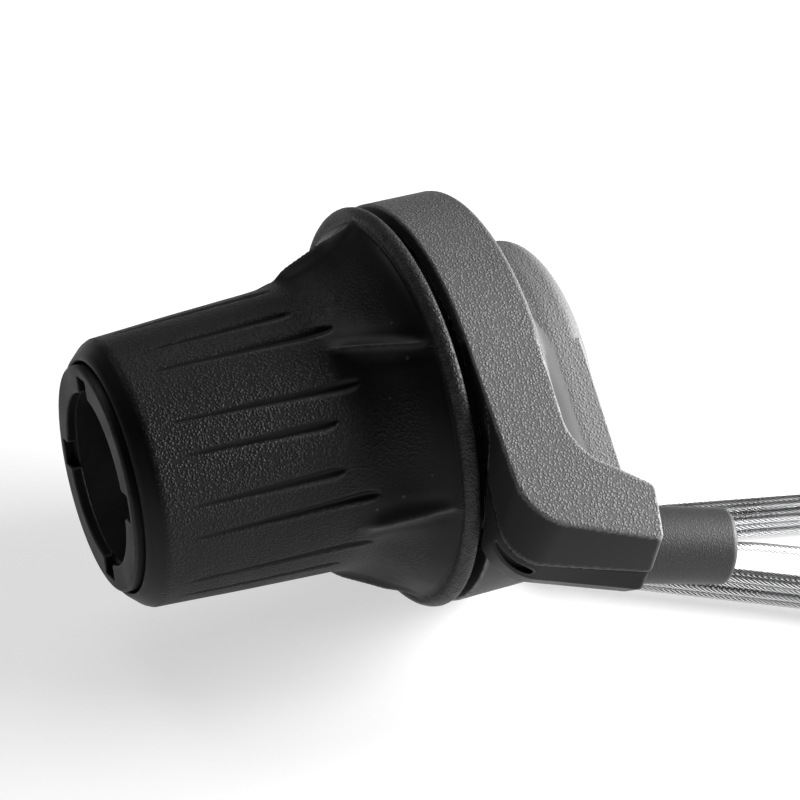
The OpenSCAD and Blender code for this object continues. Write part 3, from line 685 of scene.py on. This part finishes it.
def mould_group():
    """Slow variation of a moulded surface: Patch drifts between 0 and 1 over several millimetres, Speck
    marks rare dust specks, and Satin is a very fine height."""
    tree, inp, out = new_group("moulded_surface", (("Seed", "Float", 0.0),),
                               (("Patch", "Float"), ("Speck", "Float"), ("Satin", "Float")))
    place = node(tree, "TexCoord").outputs["Object"]
    shift = vector_math(tree, "ADD", ((0, place), (1, inp.outputs["Seed"])))
    patch = node(tree, "TexNoise", (("Vector", shift), ("Scale", 140), ("Detail", 3), ("Roughness", 0.6)))
    dust = node(tree, "TexVoronoi", (("Vector", shift), ("Scale", 330))).outputs
    near = ramp(tree, dust["Distance"], 0.10, 0.05)
    picked = node(tree, "SeparateColor", (("Color", dust["Color"]),)).outputs[0]
    satin = node(tree, "TexNoise", (("Vector", shift), ("Scale", 7000), ("Detail", 2))).outputs[0]
    tree.links.new(ramp(tree, patch.outputs[0], 0.3, 0.7), out.inputs["Patch"])
    speck = math(tree, "MULTIPLY", near, math(tree, "GREATER_THAN", picked, 0.86))
    tree.links.new(speck, out.inputs["Speck"])
    tree.links.new(satin, out.inputs["Satin"])
    return tree


def edge_highlight_group():
    """Strength of a painted highlight on the sharp edges, which Edge marks, broken up by a fine noise."""
    inputs = (("Edge", "Float", 0.0), ("Amount", "Float", 0.8))
    tree, inp, out = new_group("painted_edge_highlight", inputs, (("Highlight", "Float"),))
    place = node(tree, "TexCoord").outputs["Object"]
    breakup = node(tree, "TexNoise", (("Vector", place), ("Scale", 900), ("Detail", 3))).outputs[0]
    part = math(tree, "MULTIPLY", inp.outputs["Edge"], ramp(tree, breakup, 0.25, 0.6, 0.45, 1.0))
    tree.links.new(math(tree, "MULTIPLY", part, inp.outputs["Amount"]), out.inputs["Highlight"])
    return tree


PEBBLE, MOULD, EDGE_HIGHLIGHT = pebble_group(), mould_group(), edge_highlight_group()


def use(tree, group, links=()):
    """The group's outputs, with these input values."""
    new = tree.nodes.new("ShaderNodeGroup")
    new.node_tree = group
    for key, value in links:
        plug(tree, new.inputs[key], value)
    return new.outputs


def surface(name, **fixed):
    """New material with its Principled shader, which gets the fixed values on its own sockets."""
    material = bpy.data.materials.new(name)
    material.use_nodes = True
    shader = material.node_tree.nodes["Principled BSDF"]
    for key, value in fixed.items():
        shader.inputs[key.replace("_", " ")].default_value = value
    return material, material.node_tree, shader


def mask(tree, name):
    """The piece's own attribute of this name."""
    return node(tree, "Attribute", attribute_name=name).outputs["Fac"]


def relief(tree, shader, height, depth):
    """Bump of this depth in millimetres on the shader."""
    bump = node(tree, "Bump", (("Height", height), ("Distance", depth * MM), ("Strength", 1.0)))
    tree.links.new(bump.outputs["Normal"], shader.inputs["Normal"])


def grained(name, dark, light, grain, depth, rough, seed, highlight_colour, specular):
    """Moulded plastic or rubber whose pebble grain shows where the piece's grain mask is 1 and that is
    satin smooth elsewhere. Crowns are lighter and glossier and creases darker. Edges are glossier and carry
    a painted highlight, and a second mask of the piece adds painted light."""
    material, tree, shader = surface(name, Specular_IOR_Level=specular)
    pebbles = use(tree, PEBBLE, (("Size", grain),))
    mould = use(tree, MOULD, (("Seed", seed),))
    where = mask(tree, "grain")
    edge_highlight = use(tree, EDGE_HIGHLIGHT, (("Edge", mask(tree, "edge")),))["Highlight"]
    tone_and_painted_light = math(tree, "MULTIPLY", where, ramp(tree, pebbles["Crown"], 0.05, 0.6, 0.5, 1.0))
    # Painted light: a second mask of the piece lightens parts such as the housing's cap and cove.
    tone_and_painted_light = math(tree, "MAXIMUM", tone_and_painted_light, mask(tree, "tone_and_painted_light"))
    tone_and_painted_light = math(tree, "MULTIPLY_ADD", mould["Patch"], 0.03, tone_and_painted_light)
    colour = mix(tree, tone_and_painted_light, (*dark, 1), (*light, 1))
    # Painted highlight: the colour turns lighter on the edges that the edge mask marks.
    colour = mix(tree, edge_highlight, colour, (*highlight_colour, 1))
    colour = mix(tree, math(tree, "MULTIPLY", mould["Speck"], 0.12), colour, (0.3, 0.3, 0.3, 1))
    tree.links.new(colour, shader.inputs["Base Color"])
    gloss = math(tree, "MULTIPLY_ADD", mould["Patch"], 0.08, rough)
    gloss = math(tree, "MULTIPLY_ADD", edge_highlight, -0.12, gloss)
    gloss = math(tree, "MULTIPLY_ADD", where, 0.06, gloss)
    tree.links.new(gloss, shader.inputs["Roughness"])
    height = math(tree, "MULTIPLY", pebbles["Height"], where)
    height = math(tree, "MULTIPLY_ADD", mould["Satin"], 0.035, height)
    relief(tree, shader, height, depth)
    return material


def smooth_plastic(name, base, rough, seed):
    """Satin moulded plastic with a painted highlight on its edges."""
    material, tree, shader = surface(name, Specular_IOR_Level=0.12)
    mould = use(tree, MOULD, (("Seed", seed),))
    edge_highlight = use(tree, EDGE_HIGHLIGHT, (("Edge", mask(tree, "edge")), ("Amount", 0.6)))["Highlight"]
    light = tuple(1.7 * c for c in base)
    highlight_tint = tuple(min(4 * c + 0.06, 1.0) for c in base)
    colour = mix(tree, mould["Patch"], (*base, 1), (*light, 1))
    # Painted highlight: lighter colour on the edges that the edge mask marks.
    colour = mix(tree, edge_highlight, colour, (*highlight_tint, 1))
    tree.links.new(colour, shader.inputs["Base Color"])
    tree.links.new(math(tree, "MULTIPLY_ADD", mould["Patch"], 0.1, rough), shader.inputs["Roughness"])
    relief(tree, shader, mould["Satin"], 0.006)
    return material


def machined(name, base, rough, lines, seed):
    """Bright metal with fine tool lines across X and small patches of different gloss."""
    material, tree, shader = surface(name, Metallic=1.0)
    mould = use(tree, MOULD, (("Seed", seed),))
    place = node(tree, "TexCoord").outputs["Object"]
    stretched = node(tree, "Mapping", (("Vector", place), ("Scale", (lines, 60, 60)))).outputs[0]
    grind = node(tree, "TexNoise", (("Vector", stretched), ("Scale", 1.0), ("Detail", 3))).outputs[0]
    dull = tuple(0.6 * c for c in base)
    tree.links.new(mix(tree, mould["Patch"], (*dull, 1), (*base, 1)), shader.inputs["Base Color"])
    gloss = math(tree, "MULTIPLY_ADD", grind, 0.25, rough - 0.1)
    tree.links.new(gloss, shader.inputs["Roughness"])
    relief(tree, shader, grind, 0.004)
    return material


def stranded(name):
    """STRANDS bright wires laid round the cable: each is a round bead across the piece's own map, which
    counts turns in u and millimetres in v, and the whole twists once in LAY millimetres. The colour is
    darkest between the strands, which is painted shade."""
    material, tree, shader = surface(name, Metallic=1.0)
    uv = node(tree, "UVMap", uv_map="lay").outputs[0]
    parts = node(tree, "SeparateXYZ", (("Vector", uv),)).outputs
    turn = math(tree, "MULTIPLY_ADD", parts[1], 1 / LAY, parts[0])
    across = math(tree, "FRACT", math(tree, "MULTIPLY", turn, STRANDS))
    bead = math(tree, "SINE", math(tree, "MULTIPLY", across, np.pi))
    mould = use(tree, MOULD, (("Seed", 7.0),))
    # Painted shade: the colour is dark in the grooves between the strands and bright on their crowns.
    colour = mix(tree, ramp(tree, bead, 0.1, 0.75), (0.2, 0.2, 0.205, 1), (0.86, 0.865, 0.87, 1))
    tree.links.new(colour, shader.inputs["Base Color"])
    gloss = math(tree, "MULTIPLY_ADD", mould["Patch"], 0.05, 0.26)
    tree.links.new(gloss, shader.inputs["Roughness"])
    relief(tree, shader, bead, 0.06)
    return material


# Materials

LOOK = {
    "textured_plastic": grained("textured_plastic", (0.007, 0.007, 0.007), (0.135, 0.135, 0.137), grain=0.34,
                                depth=0.065, rough=0.5, seed=0.0, highlight_colour=(0.2, 0.2, 0.2), specular=0.3),
    "smooth_plastic": smooth_plastic("smooth_plastic", (0.0045, 0.0045, 0.0046), rough=0.45, seed=1.3),
    "inner_plastic": smooth_plastic("inner_plastic", (0.008, 0.008, 0.0085), rough=0.5, seed=2.1),
    "grip_rubber": grained("grip_rubber", (0.003, 0.003, 0.003), (0.017, 0.017, 0.0172), grain=0.36,
                           depth=0.1, rough=0.42, seed=3.7, highlight_colour=(0.07, 0.07, 0.071), specular=0.16),
    "drum_plastic": smooth_plastic("drum_plastic", (0.5, 0.49, 0.45), rough=0.35, seed=4.2),
    "liner_plastic": smooth_plastic("liner_plastic", (0.45, 0.45, 0.44), rough=0.3, seed=5.5),
    "stop_plastic": grained("stop_plastic", (0.012, 0.012, 0.012), (0.035, 0.035, 0.036), grain=0.24,
                            depth=0.022, rough=0.44, seed=6.4, highlight_colour=(0.12, 0.12, 0.12), specular=0.35),
    "screw_steel": machined("screw_steel", (0.55, 0.55, 0.57), rough=0.32, lines=900, seed=0.7),
    "spring_steel": machined("spring_steel", (0.6, 0.61, 0.63), rough=0.3, lines=1400, seed=1.9),
    "wire_steel": stranded("wire_steel"),
    "cap_aluminium": machined("cap_aluminium", (0.78, 0.78, 0.8), rough=0.34, lines=1200, seed=2.6),
    "tie_plastic": smooth_plastic("tie_plastic", (0.02, 0.02, 0.021), rough=0.4, seed=8.8),
}


def housing_masks(points):
    """Where the housing is grained, and where it is smooth or lighter. Band, arm top, web, cap and the foot
    of the arm are grained. The bevel and the insides are smooth and dark, and the cove that runs down
    beside the band, widening towards the arm, is smooth. The second mask paints light on the cove, most
    at its inboard side and far from the arm, and on the cap; it also makes the insides and the inboard
    end face a little lighter."""
    x, s, h, rho = arm_coords(points)
    above_web = smooth_step(s, 16.5, 17.5) * smooth_step(h, 19.5, 20.5)
    beyond_web = np.maximum(smooth_step(-x, 5.0, 5.6), above_web)
    on_bevel = smooth_step(s, 0.5, 1.5) * smooth_step(-h, -26.85, -26.6) * beyond_web
    cove_end = -1.9 + 2.3 * smooth_step(s, -6, 3)
    in_cove = smooth_step(x, -5.25, -4.9) * smooth_step(cove_end - x, 0, 0.5)
    in_cove = in_cove * smooth_step(-rho, -26.6, -25.8) * smooth_step(-s, -19, -17)
    outboard_face = smooth_step(-x, 14.75, 14.95) * smooth_step(-s, -1, 0)
    inside = np.maximum(smooth_step(-rho, -17.2, -16.6), outboard_face)
    side = smooth_step(x, 4.6, 5.0)
    cap = smooth_step(x, -1.8, 1.5) * smooth_step(-h, -20, -19) * smooth_step(-s, -25, -20)
    in_view = smooth_step(x, -3.6, -2.6)
    # Painted light: the cove is lighter, most at its inboard side, and so is the cap.
    tone_and_painted_light = in_cove * (0.3 + 0.7 * in_view * (1 - 0.5 * smooth_step(s, 2, 9))) + 0.9 * cap * (1 - side)
    tone_and_painted_light = np.maximum(tone_and_painted_light, 0.3 * np.maximum(inside, side))
    return 1 - np.clip(on_bevel + in_cove + inside + side, 0, 1), np.clip(tone_and_painted_light, 0, 1)


def smooth_parting(piece):
    """Keeps the painted edge highlight off the parting line between arm and lower cover."""
    obj, points = piece
    edge = np.empty(len(points), np.float32)
    obj.data.attributes["edge"].data.foreach_get("value", edge)
    x, s, h, rho = arm_coords(points)
    edge = edge * np.maximum(smooth_step(np.abs(h - PARTING_H), 0.5, 1.1), smooth_step(-s, 0, 1))
    obj.data.attributes["edge"].data.foreach_set("value", edge.astype(np.float32))


for part in frame["record"]["subparts"]:
    obj = frame["nodes"][part["node"]]
    obj.data.materials.clear()
    obj.data.materials.append(LOOK[part["material_slot"]])
wire.data.materials.append(LOOK["wire_steel"])
grip.data.materials.append(LOOK["grip_rubber"])
for name, replaced, slot, *rest in FINE_PIECES:
    made[name][0].data.materials.append(LOOK[slot])
grain, tone_and_painted_light = housing_masks(made["housing_shell"][1])
attribute(made["housing_shell"][0], "grain", grain)
attribute(made["housing_shell"][0], "tone_and_painted_light", tone_and_painted_light)
smooth_parting(made["housing_shell"])
smooth_parting(made["tray"])
attribute(made["stop_tube"][0], "grain", np.ones(len(made["stop_tube"][1])))

# Floor and light

FLOOR_REACH = 6000
FLOOR_GLOW = 0.6
SKY_FILL, SKY_SEEN = 0.035, 0.66
corners = [[[x, y, FLOOR_Z] for x in (-FLOOR_REACH, FLOOR_REACH)] for y in (-FLOOR_REACH, FLOOR_REACH)]
floor = grid_mesh("floor", np.array(corners, float))
paper, tree, shader = surface("floor_white", Roughness=0.8, Specular_IOR_Level=0.1)
fibre = node(tree, "TexNoise", (("Scale", 40.0), ("Detail", 3))).outputs[0]
tree.links.new(mix(tree, fibre, (0.42, 0.42, 0.42, 1), (0.45, 0.45, 0.45, 1)), shader.inputs["Base Color"])
shader.inputs["Emission Color"].default_value = (1, 1, 1, 1)
shader.inputs["Emission Strength"].default_value = FLOOR_GLOW
floor.data.materials.append(paper)

world = bpy.data.worlds.new("world")
bpy.context.scene.world = world
world.use_nodes = True
air = world.node_tree.nodes["Background"]
air.inputs["Color"].default_value = (1, 1, 1, 1)
seen = node(world.node_tree, "LightPath").outputs["Is Camera Ray"]
sky = ramp(world.node_tree, seen, 0.0, 1.0, SKY_FILL, SKY_SEEN)
world.node_tree.links.new(sky, air.inputs["Strength"])


def area_light(name, place, target, size, watts):
    """Rectangular lamp at place, turned to target."""
    data = bpy.data.lights.new(name, "AREA")
    data.shape = "RECTANGLE"
    data.size, data.size_y = size
    data.energy = watts
    light = bpy.data.objects.new(name, data)
    bpy.context.scene.collection.objects.link(light)
    light.location = place
    aim(light, target)


area_light("key", place=(0.32, -0.11, 0.115), target=(0, -0.01, 0), size=(0.22, 0.18), watts=5.6)
area_light("top", place=(-0.04, 0.42, 0.62), target=(-0.01, 0, 0), size=(0.6, 0.4), watts=1.7)

bpy.context.scene.view_settings.view_transform = "Standard"
